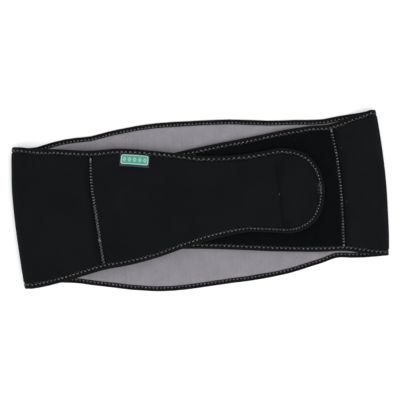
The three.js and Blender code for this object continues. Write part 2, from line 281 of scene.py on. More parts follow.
def layStrip():
    leftLevel = backLevel + belt["leftFold"] - 2 * half
    rightLevel = backLevel + belt["rightFold"] - 2 * half
    leftIn, rightIn = belt["leftFold"] / 2, -belt["rightFold"] / 2
    up, down = (0, 0, 1.0), (0, 0, -1.0)
    left, leftSeams = runRibs(leftRows, overLevel, leftLevel, tipLevel, {0: leftIn}, up,
                              belt["crown"])
    right, rightSeams = runRibs(rightRows, underLevel, rightLevel, underLevel, {0: rightIn}, up,
                                belt["crown"])
    start, whole = belt["sagFrom"]
    left["droop"] = left["droop"] * (1 + belt["sag"] / belt["crown"]
                                     * ease((left["middle"][:, 0] - start) / (whole - start)))
    right["droop"] = right["droop"] * (1 + belt["sag"] / belt["crown"])
    back, backSeams = runRibs(backRows, backLevel, backLevel, backLevel,
                              {0: leftIn, len(backRows) - 1: rightIn}, down, 0)
    runs = [
        flipped(tipRibs(left, 1)), flipped(left), foldRibs(leftFoldRow, -1, belt["leftFold"]), back,
        flipped(foldRibs(rightFoldRow, 1, belt["rightFold"])), right, tipRibs(right, -1),
    ]
    starts = np.cumsum([0] + [len(run["bow"]) for run in runs])
    strip = {name: np.concatenate([run[name] for run in runs]) for name in runs[0]}
    for end in ("top", "bottom"):
        out = np.interp(lengthsAlong(strip[end]), *np.transpose(belt[end + "Wave"]) * mm)
        strip[end] = strip[end] + unit(strip[end] - strip["middle"]) * out[:, None]
    strip["place"] = np.mean([lengthsAlong(strip[end]) for end in ("top", "middle", "bottom")], axis=0)
    for end in ("top", "bottom"):
        strip[end + "Inset"] = insetPace(strip, end)
    seams = ([starts[2] - 1 - i for i in leftSeams] + [starts[3] + i for i in backSeams]
             + [starts[5] + i for i in rightSeams])
    return strip, strip["place"][seams], strip["place"][starts[1]]


ribs, seamPlaces, leftTipPlace = layStrip()
stripEnds = (0.0, ribs["place"][-1])
print("strip laid:", len(ribs["bow"]), "ribs over", round(stripEnds[1], 3), "m")


def ribsAt(places):
    # The ribs at these places along the strip, between the nearest two
    at = {}
    for name, values in ribs.items():
        if values.ndim == 1:
            at[name] = np.interp(places, ribs["place"], values)
        else:
            at[name] = np.stack([np.interp(places, ribs["place"], axis) for axis in values.T], 1)
    at["normal"] = unit(at["normal"])
    return at


def onCloth(at, across, offset):
    # Points on ribs: across runs from -1 at the lower edge to 1, the offset is out of the loop
    middle = at["middle"][:, None]
    end = np.where(across[..., None] > 0, at["top"][:, None], at["bottom"][:, None])
    points = middle + (end - middle) * np.abs(across)[..., None]
    points[..., 0] += (1 - across ** 2) * (at["bow"][:, None] + at["skew"][:, None] * across)
    points[..., 2] -= at["droop"][:, None] * across ** 2
    return points + at["normal"][:, None] * np.broadcast_to(offset, across.shape)[..., None]


def insetOf(at, across):
    pace = np.where(across > 0, at["topInset"][:, None], at["bottomInset"][:, None])
    return (1 - np.abs(across)) / pace


def weaveMap(at, points):
    # Flat coordinates in metres: X along the cloth, let out at the folds, and Y across it
    return pairUp(points[..., 0] + at["around"][:, None], points[..., 1])


def ripple(points, size, seed):
    # Slow bumps of the cloth, from about -1 to 1 and the same each run
    wave = np.random.default_rng(seed)
    total = np.zeros(points.shape[:-1])
    for _ in range(7):
        turn, phase = wave.uniform(0, 2 * math.pi, 2)
        pace = 2 * math.pi / (size * wave.uniform(0.6, 1.6))
        slant = points[..., 0] * math.cos(turn) + points[..., 1] * math.sin(turn)
        total += np.sin(pace * slant + phase)
    return total / 4


def pairUp(first, second):
    # Two grids of values as one grid of coordinates, for a map
    return np.stack(np.broadcast_arrays(first, second), -1)


# Node helpers

def addNode(kind, inputs=None, tree=None, **settings):
    # The tree is the linked inputs' own, unless it is given
    inputs = inputs or {}
    linked = [value for value in inputs.values() if isinstance(value, bpy.types.NodeSocket)]
    tree = tree or linked[0].id_data
    made = tree.nodes.new(kind)
    for name, value in settings.items():
        setattr(made, name, value)
    for socket, value in inputs.items():
        if isinstance(value, bpy.types.NodeSocket):
            tree.links.new(value, made.inputs[socket])
        else:
            made.inputs[socket].default_value = value
    return made


def maths(operation, *values, clamp=False):
    made = addNode("ShaderNodeMath", dict(enumerate(values)), operation=operation, use_clamp=clamp)
    return made.outputs[0]


def plus(first, second):
    return maths("ADD", first, second)


def minus(first, second, clamp=False):
    return maths("SUBTRACT", first, second, clamp=clamp)


def times(first, second):
    return maths("MULTIPLY", first, second)


def weighed(first, *others):
    # Sum of values, each with its weight
    total = times(*first)
    for other in others:
        total = plus(total, times(*other))
    return total


def waveOf(value, length):
    return maths("SINE", times(value, 2 * math.pi / length))


def mixColours(factor, first, second):
    return addNode("ShaderNodeMix", {0: factor, 6: first, 7: second}, data_type="RGBA").outputs[2]


def stretch(value, low, high, bottom=0.0, top=1.0):
    return addNode("ShaderNodeMapRange", {0: value, 1: low, 2: high, 3: bottom, 4: top}).outputs[0]


def noiseOn(vector, scale, detail, roughness=0.5):
    return addNode("ShaderNodeTexNoise", {
        "Vector": vector, "Scale": scale, "Detail": detail, "Roughness": roughness}).outputs[0]


def splitUp(vector):
    return addNode("ShaderNodeSeparateXYZ", {0: vector}).outputs[:2]


def newGroup(name, inputs, outputs):
    tree = bpy.data.node_groups.new(name, "ShaderNodeTree")
    sockets = tree.interface
    sockets.new_socket(name="Vector", in_out="INPUT", socket_type="NodeSocketVector")
    for label, value in inputs.items():
        socket = sockets.new_socket(name=label, in_out="INPUT", socket_type="NodeSocketFloat")
        socket.default_value = value
    for label in outputs:
        sockets.new_socket(name=label, in_out="OUTPUT", socket_type="NodeSocketFloat")
    return tree, tree.nodes.new("NodeGroupInput").outputs, tree.nodes.new("NodeGroupOutput").inputs


def knitGroup():
    # Knitted face: columns of small V stitches
    tree, given, out = newGroup("knit stitches", {"Column": 0.8 * mm, "Course": 0.6 * mm},
                                ["Height", "Gap"])
    x, y = splitUp(given["Vector"])
    column = maths("FRACT", maths("DIVIDE", x, given["Column"]))
    leg = maths("ABSOLUTE", minus(column, 0.5))  # 0 in the V, 0.5 between
    slant = plus(maths("DIVIDE", y, given["Course"]), leg)
    course = maths("ABSOLUTE", minus(maths("FRACT", slant), 0.5))
    legRound = waveOf(leg, 1)
    courseRound = maths("COSINE", times(course, math.pi))
    height = times(legRound, plus(0.35, times(courseRound, 0.65)))
    tree.links.new(height, out["Height"])
    tree.links.new(stretch(height, 0.35, 0.0), out["Gap"])
    return tree


def mottleGroup():
    # Uneven dye and nap: broad soft patches and fine grain
    tree, given, out = newGroup("cloth mottle", {"Broad Scale": 30.0, "Fine Scale": 900.0},
                                ["Broad", "Fine"])
    broad = noiseOn(given["Vector"], given["Broad Scale"], 4.0, 0.55)
    fine = noiseOn(given["Vector"], given["Fine Scale"], 2.0, 0.6)
    tree.links.new(stretch(broad, 0.3, 0.7), out["Broad"])
    tree.links.new(stretch(fine, 0.25, 0.75), out["Fine"])
    return tree


def fluffGroup():
    # Tiny scattered flecks of fluff; a smaller amount leaves fewer of them
    tree, given, out = newGroup("fluff flecks", {"Scale": 300.0, "Amount": 0.1, "Size": 0.2}, ["Mask"])
    cells = addNode("ShaderNodeTexVoronoi", {"Vector": given["Vector"], "Scale": given["Scale"]})
    chance = addNode("ShaderNodeSeparateColor", {0: cells.outputs["Color"]}).outputs[0]
    kept = maths("LESS_THAN", chance, given["Amount"])
    near = minus(1.0, maths("DIVIDE", cells.outputs["Distance"], given["Size"]), clamp=True)
    tree.links.new(times(kept, near), out["Mask"])
    return tree


groups = {"knit": knitGroup(), "mottle": mottleGroup(), "fluff": fluffGroup()}
finishes = {}


def useGroup(name, vector, *values):
    # The values go to the sockets after the vector, in their order
    return addNode("ShaderNodeGroup", dict(enumerate((vector, *values))), node_tree=groups[name]).outputs


def mapNamed(shader, name):
    return addNode("ShaderNodeUVMap", tree=shader.id_data, uv_map=name).outputs[0]


def newFinish(name, roughness, specular):
    finish = bpy.data.materials.new(name)
    finish.use_nodes = True
    finishes[name] = finish
    shader = finish.node_tree.nodes["Principled BSDF"]
    shader.inputs["Roughness"].default_value = roughness
    shader.inputs["Specular IOR Level"].default_value = specular
    spot = addNode("ShaderNodeTexCoord", tree=finish.node_tree).outputs["Object"]
    return shader, spot, mapNamed(shader, "cloth")


def endFinish(shader, colour, height, relief):
    bump = addNode("ShaderNodeBump", {"Height": height, "Distance": relief, "Strength": 1.0})
    for value, socket in ((colour, "Base Color"), (bump.outputs[0], "Normal")):
        shader.id_data.links.new(value, shader.inputs[socket])


def strewFluff(colour, vector, flecks, fluffColour, weight):
    mask = useGroup("fluff", vector, *flecks)["Mask"]
    return mixColours(times(mask, weight), colour, fluffColour)


def knitCloth(look, spot, flat, tones, *streaks):
    # Colour and height of a knitted face: mottled dye, with painted shade between its stitches
    knit = useGroup("knit", flat, *look["knit"])
    mottle = useGroup("mottle", spot, *look["mottle"])
    blend = weighed(*zip((mottle["Broad"], mottle["Fine"], *streaks), look["shares"]))
    shaded = times(blend, minus(1.0, times(knit["Gap"], look["gapShade"])))
    return mixColours(shaded, *tones), plus(knit["Height"], times(mottle["Fine"], look["grain"]))


# Finishes. "shine" is roughness and specular level, "mottle" the scales of patches and grain,
# "shares" how much of the colour each gives, and "flecks" their scale, amount and size

neoprene = {
    "shine": (0.8, 0.055),
    "wing": ((0.0035, 0.0042, 0.0047, 1), (0.0058, 0.0069, 0.0076, 1)),  # dark and light
    "side": ((0.0035, 0.0042, 0.0047, 1), (0.0058, 0.0069, 0.0077, 1)),
    # The right side panel's tones are a lighter copy of the side's: painted light, for the light falling
    # more on that side
    "litRightSide": ((0.0046, 0.0049, 0.0058, 1), (0.0076, 0.0081, 0.0096, 1)),
    # Painted shade: this dark colour stands in for the shade where the cloth rolls down into a seam, the
    # shadow in the stitches' furrow, the shade in the wing's crease and two shadow patches
    "paintedShade": (0.0016, 0.0020, 0.0023, 1),
    "seamShade": {"wing": 0.25, "side": 0.75},
    "paintedShadeRun": (1.5 * mm, 8.5 * mm),  # beside a seam, from darkest to none
    "furrowRun": (2.2 * mm, 3.8 * mm),
    "furrowShade": 0.9,
    "crease": (95.9 * mm, -0.118),  # X at the middle, and how it leans with Y
    "creaseWidth": 3.2 * mm,
    "creaseEnds": (-38 * mm, 51 * mm),
    "creaseFade": 12 * mm,
    "creaseWaver": (45.0, 3 * mm),  # scale, and how far
    "creaseShade": 0.6,
    "creaseDepth": 2.0,
    # Two painted shadow patches beside the crease, darkest at their middles
    "shadowPatches": [(97, 34, 4.5, 11), (104, -27, 6, 9)],  # middle X and Y, and reach, in millimetres
    "patchShade": 0.5,
    "mottle": (28.0, 700.0),
    "shares": (0.6, 0.4),
    "gapShade": 0.6,
    "flecks": (420.0, 0.02, 0.3),
    "fluff": (0.035, 0.036, 0.038, 1),
    "fluffWeight": 0.4,
    "knit": (0.9 * mm, 0.65 * mm),  # column and course
    "grain": 0.5,
    "relief": 0.12 * mm,
}


def creaseMask(spot):
    # The wing's one crease wavers along its line and fades out at both ends
    x, y = splitUp(spot)
    scale, reach = neoprene["creaseWaver"]
    waver = times(minus(noiseOn(spot, scale, 2.0), 0.5), reach)
    lean = times(y, neoprene["crease"][1])
    line = minus(minus(x, neoprene["crease"][0]), plus(lean, waver))
    mask = stretch(maths("ABSOLUTE", line), 0.0, neoprene["creaseWidth"], 1.0, 0.0)
    low, high = neoprene["creaseEnds"]
    mask = times(mask, stretch(y, low, low + neoprene["creaseFade"]))
    return times(mask, stretch(y, high, high - neoprene["creaseFade"]))


def neopreneFinish(name, tone, seamShade, creased=False):
    shader, spot, flat = newFinish(name, *neoprene["shine"])
    colour, height = knitCloth(neoprene, spot, flat, neoprene[tone])
    # Painted shade beside each seam where the cloth rolls down into it, and painted shadow in the furrow
    # the stitches pull
    toSeam = splitUp(mapNamed(shader, "sewn"))[0]
    paintedShade = times(stretch(toSeam, *neoprene["paintedShadeRun"], 1.0, 0.0), seamShade)
    furrowShadow = stretch(toSeam, *neoprene["furrowRun"], neoprene["furrowShade"], 0.0)
    paintedShade = maths("MAXIMUM", paintedShade, furrowShadow)
    if creased:
        # The crease is a bump and also painted shade: its colour is darkened along the line
        crease = creaseMask(spot)
        height = minus(height, times(crease, neoprene["creaseDepth"]))
        paintedShade = maths("MAXIMUM", paintedShade, times(crease, neoprene["creaseShade"]))
        # Painted shadow patches
        for x, y, wide, high in neoprene["shadowPatches"]:
            reach = addNode("ShaderNodeMapping", {
                "Vector": spot, "Location": (-x / wide, -y / high, 0),
                "Scale": (1 / (wide * mm), 1 / (high * mm), 0)}).outputs[0]
            away = addNode("ShaderNodeVectorMath", {0: reach}, operation="LENGTH").outputs["Value"]
            paintedShade = maths("MAXIMUM", paintedShade, stretch(away, 0.0, 1.0, neoprene["patchShade"], 0.0))
    # All the painted shade and shadow goes into the colour here
    colour = mixColours(paintedShade, colour, neoprene["paintedShade"])
    colour = strewFluff(colour, spot, neoprene["flecks"], neoprene["fluff"], neoprene["fluffWeight"])
    endFinish(shader, colour, height, neoprene["relief"])


neopreneFinish("neoprene wing", "wing", neoprene["seamShade"]["wing"], creased=True)
neopreneFinish("neoprene side", "side", neoprene["seamShade"]["side"])
# Lighter copy of the side neoprene: painted light on the right side panel
neopreneFinish("neoprene right side", "litRightSide", neoprene["seamShade"]["side"])

velour = {
    "shine": (0.95, 0.03),
    "sheen": 0.02,
    "dark": (0.0017, 0.0021, 0.0026, 1),
    "light": (0.0036, 0.0043, 0.0050, 1),
    "mottle": (60.0, 1500.0),
    "shares": (0.5, 0.5),
    "loops": 1500.0,
    "flecks": (380.0, 0.02, 0.3),
    "fluff": (0.03, 0.031, 0.034, 1),
    "fluffWeight": 0.7,
    "relief": 0.3 * mm,
}


def velourFinish():
    # Brushed loops: no stitches to see, only short nap lying in soft patches
    shader, spot, flat = newFinish("brushed velour", *velour["shine"])
    shader.inputs["Sheen Weight"].default_value = velour["sheen"]
    mottle = useGroup("mottle", spot, *velour["mottle"])
    loops = addNode("ShaderNodeTexVoronoi", {"Vector": flat, "Scale": velour["loops"]})
    blend = weighed(*zip((mottle["Broad"], mottle["Fine"]), velour["shares"]))
    colour = mixColours(blend, velour["dark"], velour["light"])
    colour = strewFluff(colour, spot, velour["flecks"], velour["fluff"], velour["fluffWeight"])
    endFinish(shader, colour, minus(mottle["Fine"], loops.outputs["Distance"]), velour["relief"])


velourFinish()

jersey = {
    "shine": (0.9, 0.15),
    "dark": (0.208, 0.196, 0.221, 1),
    "light": (0.303, 0.288, 0.319, 1),
    "mottle": (70.0, 520.0),
    "shares": (0.40, 0.35, 0.25),  # the last one is the streaks'
    "streak": (420.0, 0.06),  # scale, and its share of that along the streak
    "streakRange": (0.3, 0.7),
    "gapShade": 0.35,
    "paleFlecks": (330.0, 0.02, 0.35),
    "pale": (0.42, 0.40, 0.43, 1),
    "paleWeight": 0.6,
    "darkFlecks": (250.0, 0.015, 0.3),
    "speck": (0.06, 0.055, 0.062, 1),
    "speckWeight": 0.8,
    "knit": (0.7 * mm, 0.5 * mm),
    "grain": 0.6,
    "relief": 0.1 * mm,
}


def jerseyFinish():
    # Grey melange: streaks along the columns of its stitches, pale and dark flecks
    shader, spot, flat = newFinish("grey jersey", *jersey["shine"])
    streakScale, narrowing = jersey["streak"]
    drawn = addNode("ShaderNodeMapping", {"Vector": flat, "Scale": (1.0, narrowing, 1.0)}).outputs[0]
    streak = stretch(noiseOn(drawn, streakScale, 2.0), *jersey["streakRange"])
    colour, height = knitCloth(jersey, spot, flat, (jersey["dark"], jersey["light"]), streak)
    colour = strewFluff(colour, spot, jersey["paleFlecks"], jersey["pale"], jersey["paleWeight"])
    colour = strewFluff(colour, flat, jersey["darkFlecks"], jersey["speck"], jersey["speckWeight"])
    endFinish(shader, colour, height, jersey["relief"])


jerseyFinish()

tapeCloth = {
    "shine": (0.8, 0.06),
    "sheen": (0.04, 0.4),  # weight and roughness
    "dark": (0.0042, 0.0044, 0.0047, 1),
    "light": (0.0090, 0.0094, 0.0099, 1),
    "mottle": (90.0, 1100.0),
    "shares": (0.5, 0.3, 0.2),  # grain, patches and ribs
    "rib": 0.7 * mm,
    "grain": 0.8,
    "relief": 0.12 * mm,
}


def tapeFinish():
    # Close ribs across the tape
    shader, spot, flat = newFinish("ribbed tape", *tapeCloth["shine"])
    for socket, value in zip(("Sheen Weight", "Sheen Roughness"), tapeCloth["sheen"]):
        shader.inputs[socket].default_value = value
    rib = waveOf(splitUp(flat)[0], tapeCloth["rib"])
    mottle = useGroup("mottle", spot, *tapeCloth["mottle"])
    blend = weighed(*zip((mottle["Fine"], mottle["Broad"], rib), tapeCloth["shares"]))
    colour = mixColours(blend, tapeCloth["dark"], tapeCloth["light"])
    endFinish(shader, colour, plus(rib, times(mottle["Fine"], tapeCloth["grain"])), tapeCloth["relief"])


tapeFinish()

threadLook = {
    "shine": (0.6, 0.3),
    "dark": (0.20, 0.20, 0.205, 1),
    "light": (0.46, 0.46, 0.47, 1),
    "mottle": (160.0, 2500.0),
    "shares": (0.7, 0.3),  # patches and plies
    "ply": 1.1 * mm,
    "girth": 0.9 * mm,
    "relief": 0.08 * mm,
}


def threadFinish():
    # Two plies twisted together
    shader, spot, flat = newFinish("grey thread", *threadLook["shine"])
    along, around = splitUp(flat)
    turn = plus(maths("DIVIDE", along, threadLook["ply"]), maths("DIVIDE", around, threadLook["girth"]))
    ply = waveOf(turn, 1)
    mottle = useGroup("mottle", spot, *threadLook["mottle"])
    blend = weighed(*zip((mottle["Broad"], ply), threadLook["shares"]))
    endFinish(shader, mixColours(blend, threadLook["dark"], threadLook["light"]), ply,
              threadLook["relief"])


threadFinish()

hookLook = {
    "shine": (0.45, 0.5),
    "dark": (0.006, 0.0065, 0.007, 1),
    "light": (0.02, 0.021, 0.023, 1),
    "mottle": (120.0, 1800.0),
    "pitch": 1.6 * mm,
    "stemRange": (-0.2, 0.8),
    "relief": 0.4 * mm,
}


def hookFinish():
    # Rows of tiny moulded hooks
    shader, spot, flat = newFinish("hook nylon", *hookLook["shine"])
    stems = times(*[waveOf(part, hookLook["pitch"]) for part in splitUp(flat)])
    mottle = useGroup("mottle", spot, *hookLook["mottle"])
    blend = times(stretch(stems, *hookLook["stemRange"]), mottle["Fine"])
    endFinish(shader, mixColours(blend, hookLook["dark"], hookLook["light"]), stems, hookLook["relief"])


hookFinish()

# The label's own coordinates run from its lower left corner, in metres
label = {
    "width": 33 * mm,
    "height": 14 * mm,
    "thickness": 0.5 * mm,
    "thinned": 0.25 * mm,  # under the tape
    "tucked": 4.9 * mm,  # top edge, in from the belt's edge and under the tape
    "fullInset": 6.9 * mm,
    "tuckRun": (6.0 * mm, 2.6 * mm),  # where it comes out from under the tape, and over how much
    "tuckDepth": 1.25 * mm,
    "curl": (0.35 * mm, 4 * mm),  # how far its lower edge lifts, and over how much
    "slant": -1.6 * mm,  # how far its lower edge hangs to the left
    "shift": 0.9 * mm,
    "hem": 2.8 * mm,
    "topHem": 0.1 * mm,
    "margin": 1.1 * mm,
    "stripe": 0.9 * mm,
    "corner": 2.4 * mm,
    "blur": 0.15 * mm,
    "diamonds": 5,
    "diamondRim": (2.4 * mm, 2.1 * mm),
    "diamondCore": (0.7 * mm, 1.0 * mm),
    "diamondSquat": 0.75,
    "shine": (0.6, 0.3),
    "navy": (0.024, 0.037, 0.053, 1),
    "green": (0.075, 0.39, 0.255, 1),
    "pale": (0.55, 0.80, 0.77, 1),
    "motif": (0.38, 0.66, 0.56, 1),
    "mottle": (120.0, 2500.0),
    "shade": (0.35, 0.25, 0.5),  # grain, weave, and how much of both shows
    "weft": 0.45 * mm,
    "relief": 0.08 * mm,
    "steps": 36,
    "across": 20,
}


def labelFinish():
    # Green field with round corners in a pale outline, a row of small diamonds, navy round it
    shader, spot, flat = newFinish("woven label", *label["shine"])
    x, y = splitUp(flat)
    fieldTop = label["height"] - label["topHem"]
    halfWide = label["width"] / 2 - label["margin"]
    halfHigh = (fieldTop - label["hem"]) / 2
    fromMiddle = minus(x, label["width"] / 2)
    upward = maths("ABSOLUTE", minus(y, fieldTop - halfHigh))
    past = [maths("POWER", maths("MAXIMUM", minus(away, reach - label["corner"]), 0.0), 2.0)
            for away, reach in ((maths("ABSOLUTE", fromMiddle), halfWide), (upward, halfHigh))]
    rimward = maths("SQRT", plus(*past))  # grows outward, and is the corner's radius on the outline
    inField, inside = [stretch(rimward, edge + label["blur"], edge - label["blur"])
                       for edge in (label["corner"], label["corner"] - label["stripe"])]
    pitch = 2 * (halfWide - label["stripe"]) / label["diamonds"]
    cell = maths("FRACT", plus(maths("DIVIDE", fromMiddle, pitch), label["diamonds"] / 2))
    sideways = times(maths("ABSOLUTE", minus(cell, 0.5)), pitch)
    reach = plus(sideways, times(upward, label["diamondSquat"]))
    diamond = times(stretch(reach, *label["diamondRim"]), stretch(reach, *label["diamondCore"]))
    field = mixColours(diamond, label["green"], label["motif"])
    field = mixColours(inside, label["pale"], field)
    colour = mixColours(inField, label["navy"], field)
    mottle = useGroup("mottle", spot, *label["mottle"])
    weave = times(waveOf(y, label["weft"]), waveOf(x, label["weft"]))
    grain, woven, shown = label["shade"]
    shadow = plus(times(mottle["Fine"], grain), stretch(weave, -1.0, 1.0, 0.0, woven))
    endFinish(shader, mixColours(times(shadow, shown), colour, label["navy"]), weave, label["relief"])


labelFinish()


def lintFinish(name, dark, light):
    shader, spot, _ = newFinish(name, *lint["shine"])
    mottle = useGroup("mottle", spot, *lint["mottle"])
    endFinish(shader, mixColours(mottle["Fine"], dark, light), mottle["Fine"], lint["relief"])


lint = {  # short curled fibres lying on the cloth, placed by where they are seen from above
    "shine": (0.8, 0.2),
    "mottle": (400.0, 3000.0),
    "relief": 0.05 * mm,
    "looks": {  # dark and light
        "pale lint": ((0.15, 0.15, 0.15, 1), (0.30, 0.30, 0.31, 1)),
        "white lint": ((0.4, 0.4, 0.4, 1), (0.7, 0.7, 0.72, 1)),
        "dark lint": ((0.05, 0.05, 0.05, 1), (0.02, 0.02, 0.022, 1)),
    },
    "black": [(94.3, 7.3), (168.6, 63.1), (174.9, -1.9)],
    "liningDark": [(-88.9, 74.7), (-30.4, 86.2), (-52.6, -85.3), (-46.8, -72.0)],
    "liningPale": [(-87.3, 73.2), (-32.5, 86.2), (-46.8, -76.0), (-40.6, -93.7), (-92.7, -92.1)],
    "length": 2.2 * mm,
    "lengthRange": (0.6, 1.2),
    "bend": 1.2,
    "radius": 0.16 * mm,
    "dropFrom": 200 * mm,
    "restsAt": 0.4,  # height of its middle, as a share of its radius
    "points": 6,
}
for look, shades in lint["looks"].items():
    lintFinish(look, *shades)
print("finishes made:", ", ".join(finishes))


# Meshes from grids of points

def addPiece(name, points, faceSets, finish, maps, weld=0.0, sharp=60):
    mesh = bpy.data.meshes.new(name)
    faces = [face for faceSet in faceSets for face in faceSet.tolist()]
    mesh.from_pydata(points.reshape(-1, 3).tolist(), [], faces)
    corner = np.zeros(len(mesh.loops), np.int32)
    mesh.loops.foreach_get("vertex_index", corner)
    for mapName, values in maps.items():
        layer = mesh.uv_layers.new(name=mapName)
        layer.uv.foreach_set("vector", values.reshape(-1, 2)[corner].astype(np.float32).ravel())
    shape = bmesh.new()
    shape.from_mesh(mesh)
    if weld:
        bmesh.ops.remove_doubles(shape, verts=shape.verts, dist=weld)
    bmesh.ops.recalc_face_normals(shape, faces=shape.faces)
    shape.to_mesh(mesh)
    shape.free()
    mesh.shade_smooth()
    mesh.set_sharp_from_angle(angle=math.radians(sharp))
    piece = bpy.data.objects.new(name, mesh)
    bpy.context.scene.collection.objects.link(piece)
    mesh.materials.append(finishes[finish])
    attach(piece, "root")
    return piece


def gridFaces(rows, wide, closedRows=False):
    i = np.arange(rows if closedRows else rows - 1)[:, None]
    j = np.arange(wide)[None, :]
    k = (j + 1) % wide
    a, b = i * wide, (i + 1) % rows * wide
    return np.stack([a + j, a + k, b + k, b + j], -1).reshape(-1, 4)


def capFaces(row, wide):
    # Closes a ring of an outer line and the inner line that comes back along it
    j = np.arange(wide // 2 - 1)
    return row * wide + np.stack([j, j + 1, wide - 2 - j, wide - 1 - j], 1)


def layFlat(points):
    # The belt's weight presses the cloth flat where it rests; its threads stand just proud of it
    points[..., 2] = np.maximum(points[..., 2], cloth["pressedAt"])
    return points


def addSlab(name, node, skins, maps, caps, finish):
    # A closed sheet between an outer and an inner grid of points
    ring = layFlat(np.concatenate([skins[0], skins[1][:, ::-1]], 1))
    ringMaps = {mapName: np.concatenate([values, values[:, ::-1]], 1)
                for mapName, values in maps.items()}
    rows, wide = ring.shape[:2]
    faceSets = [gridFaces(rows, wide)] + [capFaces(row % rows, wide) for row in caps]
    piece = addPiece(name, ring, faceSets, finish, ringMaps, weld=cloth["weld"])
    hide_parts(node)
    return piece


# The panels

cloth = {
    "pinched": 0.5 * mm,  # half thickness inside the tape
    "swellStart": 5.5 * mm,  # way in from the edge where it begins to thicken
    "swellRun": 3.0 * mm,
    "shellInner": -0.6 * mm,
    "liningOuter": -0.9 * mm,
    "liningPinched": (-0.53 * mm, -0.72 * mm),
    "liningStart": 4.8 * mm,
    "seamDip": 0.8 * mm,
    "seamRun": 2.6 * mm,
    "ripple": 0.25 * mm,
    "rippleSize": 55 * mm,
    "rippleFade": 14 * mm,
    "creaseDip": 0.35 * mm,
    "creaseRun": 2.0 * mm,
    "step": 1.7 * mm,
    "creasedStep": 1.0 * mm,
    "columns": 26,
    "pressedAt": 0.1 * mm,
    "weld": 0.002 * mm,
    "nearSeam": [0.15, 0.5, 1.0, 1.6, 2.3, 3.2],  # rows beside a seam, in millimetres
}
edgeSteps = np.array([1.0, 3.2, 4.8, 5.5, 6.0, 6.5, 7.0, 7.6, 8.2, 8.9, 9.8]) * mm
faceKinds = {  # outer face in the tape and full, then the inner face: offsets out of the loop
    "whole": (cloth["pinched"], half, -cloth["pinched"], -half),
    "shell": (cloth["pinched"], half, -cloth["pinched"], cloth["shellInner"]),
    "lining": (cloth["liningPinched"][0], cloth["liningOuter"], cloth["liningPinched"][1], -half),
}


def stationsBetween(span, step):
    # Places along the strip, closer together beside a seam
    near = np.array(cloth["nearSeam"]) * mm
    first, last = span
    start = np.array([first]) if first == stripEnds[0] else first + near
    stop = np.array([last]) if last == stripEnds[1] else last - near[::-1]
    count = max(2, int(round((stop[0] - start[-1]) / step)))
    return np.concatenate([start, np.linspace(start[-1], stop[0], count + 1)[1:-1], stop])


def acrossColumns(at, steps):
    # From the upper edge to the lower one
    inner = 2 * steps[-1] - steps[-2]
    shares = np.linspace(1, 0, cloth["columns"] // 2 + 1)
    halves = []
    for end, sign in (("top", 1), ("bottom", -1)):
        pace = at[end + "Inset"][:, None]
        reach = np.concatenate([1 - steps * pace, (1 - inner * pace) * shares], 1)
        halves.append(sign * reach)
    return np.concatenate([halves[0], halves[1][:, -2::-1]], 1)


def creaseDip(points):
    # The wing's one crease, over the hook pad's edge
    lean = neoprene["crease"][0] + neoprene["crease"][1] * points[..., 1]
    low, high = neoprene["creaseEnds"]
    ends = [ease((points[..., 1] - low) / neoprene["creaseFade"]),
            ease((high - points[..., 1]) / neoprene["creaseFade"])]
    across = (points[..., 0] - lean) / cloth["creaseRun"]
    return cloth["creaseDip"] * np.exp(-across ** 2) * ends[0] * ends[1]


def sewPanel(name, part, kind, finish, slot, held, restsOn, seed):
    span = (panelEnds[part], panelEnds[part + 1])
    creased = name == "wing_left"
    places = stationsBetween(span, cloth["creasedStep"] if creased else cloth["step"])
    at = ribsAt(places)
    steps = edgeSteps
    if kind == "lining":
        steps = steps[steps > cloth["liningStart"] - cloth["weld"]]
    across = acrossColumns(at, steps)
    inset = insetOf(at, across)
    full = ease((inset - cloth["swellStart"]) / cloth["swellRun"])
    middle = onCloth(at, across, 0.0)
    near = np.min(np.abs(places[:, None] - seamPlaces), axis=1)[:, None]
    dip = (1 - ease(near / cloth["seamRun"])) * cloth["seamDip"] * full
    wave = (ripple(middle, cloth["rippleSize"], seed) * cloth["ripple"] * full
            * ease(near / cloth["rippleFade"]))
    crease = creaseDip(middle) if creased else 0
    outerEdge, outer, innerEdge, inner = faceKinds[kind]
    outerOffset = outerEdge + (outer - outerEdge) * full
    innerOffset = innerEdge + (inner - innerEdge) * full
    if kind != "lining":
        outerOffset = outerOffset + (wave - dip - crease)
    if kind != "shell":
        innerOffset = innerOffset + (wave + dip)
    skins = [onCloth(at, across, outerOffset), onCloth(at, across, innerOffset)]
    caps = [row for row, end in ((0, stripEnds[0]), (-1, stripEnds[1])) if end not in span]
    maps = {"cloth": weaveMap(at, middle), "sewn": pairUp(near, inset)}
    piece = addSlab(name + "_cloth", name, skins, maps, caps, finish)
    return piece


panelEnds = [stripEnds[0], *seamPlaces, stripEnds[1]]
panels = [  # name, which part of the strip, kind, finish, slot, how it lies and on what, ripples
    ("wing_right", 4, "whole", "brushed velour", "velour", "laid", ["side_right"], 21),
    ("back_panel", 2, "shell", "neoprene side", "neoprene", "laid", [], 22),
    ("side_left", 1, "shell", "neoprene side", "neoprene", "folded", ["back_panel"], 23),
    ("side_right", 3, "shell", "neoprene right side", "neoprene", "folded", ["back_panel"], 24),
    ("wing_left", 0, "whole", "neoprene wing", "neoprene", "laid", ["wing_right", "hook_pad"], 25),
    ("lining_side_left", 1, "lining", "grey jersey", "jersey", "folded", ["side_left"], 23),
    ("lining_back", 2, "lining", "grey jersey", "jersey", "laid", ["back_panel"], 26),
    ("lining_side_right", 3, "lining", "grey jersey", "jersey", "folded", ["side_right"], 24),
]
pieces = {panel[0]: sewPanel(*panel) for panel in panels}


# The hook pad under the left wing's end

